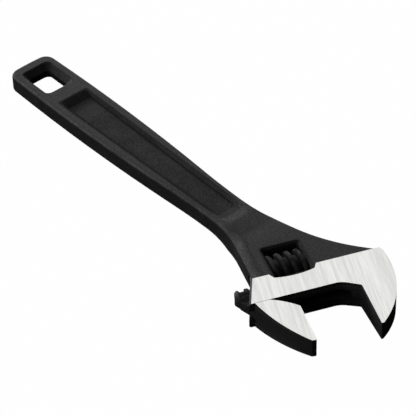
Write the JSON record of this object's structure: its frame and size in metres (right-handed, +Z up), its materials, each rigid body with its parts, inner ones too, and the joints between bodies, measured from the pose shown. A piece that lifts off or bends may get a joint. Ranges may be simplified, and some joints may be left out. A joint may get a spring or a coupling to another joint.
{
  "type": "adjustable wrench",
  "caption": "Adjustable wrench with a forged black handle, bright ground jaws, a sliding jaw on a toothed round rack, and a worm knurl that drives it.",
  "frame": {"origin": "centre of the bounding box in X and Y, at its lowest point, with the wrench lying flat and the jaws as drawn", "axes": "+X along the handle towards the jaws, +Y towards the fixed jaw's side, +Z up through the thickness"},
  "size_m": [0.1548, 0.0412, 0.0112],
  "materials": {
    "forged_black": "black phosphate coating, satin, with the head's faces ground bright",
    "knurl_black": "black oxide, satin",
    "pin_steel": "turned steel",
    "spring_steel": "drawn wire"
  },
  "bodies": {
    "frame": {"handle_body": "forged_black", "knurl_pin": "pin_steel", "knurl_spring": "spring_steel"},
    "knurl": {"adjusting_knurl": "knurl_black"},
    "jaw": {"movable_jaw": "forged_black"}
  },
  "joints": [
    {"name": "knurl_spin", "type": "hinge", "parent": "frame", "child": "knurl", "pos_m": [0.04113, -0.00591, 0.0056], "axis": [0.3827, 0.9239, 0], "range_deg": [-2361, 207]},
    {"name": "jaw_slide", "type": "slide", "parent": "frame", "child": "jaw", "axis": [-0.3827, -0.9239, 0], "range_m": [-0.01835, 0.0016]}
  ],
  "couplings": [
    {"joint": "knurl_spin", "follows": "jaw_slide", "rad_per_m": 2244}
  ]
}
